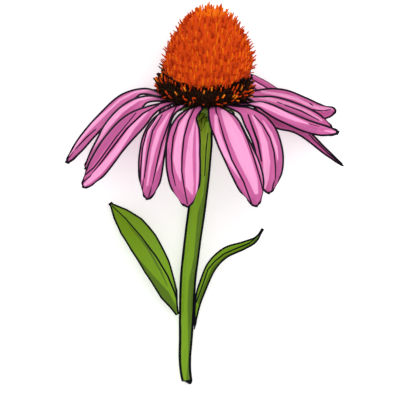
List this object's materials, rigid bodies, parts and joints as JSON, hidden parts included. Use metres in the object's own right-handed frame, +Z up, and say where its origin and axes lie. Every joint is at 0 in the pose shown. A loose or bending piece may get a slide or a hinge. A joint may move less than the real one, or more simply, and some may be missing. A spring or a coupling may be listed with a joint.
{
  "type": "cut coneflower stem",
  "caption": "Cut coneflower lying on a surface: spiny orange cone, dark ring of florets, drooping pink petals, ribbed green stem and long pointed leaves.",
  "frame": {"origin": "middle of the flower's outline as it lies, on the surface under it", "axes": "+Y along the stem from its cut end to the tip of the cone, +Z up from the surface it lies on, +X to the right seen from above with the cone at the top"},
  "size_m": [0.1122, 0.1526, 0.0551],
  "materials": {
    "cone": "matte",
    "skirt": "matte",
    "cup": "satin",
    "stem": "satin",
    "petal": "satin",
    "leaf": "satin"
  },
  "bodies": {
    "root": {"spiny_cone": "cone", "floret_skirt": "skirt", "bract_cup": "cup", "stem": "stem", "petal_01": "petal", "petal_02": "petal", "petal_03": "petal", "petal_04": "petal", "petal_05": "petal", "petal_06": "petal", "petal_07": "petal", "petal_08": "petal", "petal_09": "petal", "petal_10": "petal", "petal_11": "petal", "petal_12": "petal", "petal_13": "petal", "petal_14": "petal", "petal_15": "petal", "petal_16": "petal", "petal_17": "petal", "leaf_left": "leaf", "leaf_right": "leaf"}
  },
  "joints": []
}
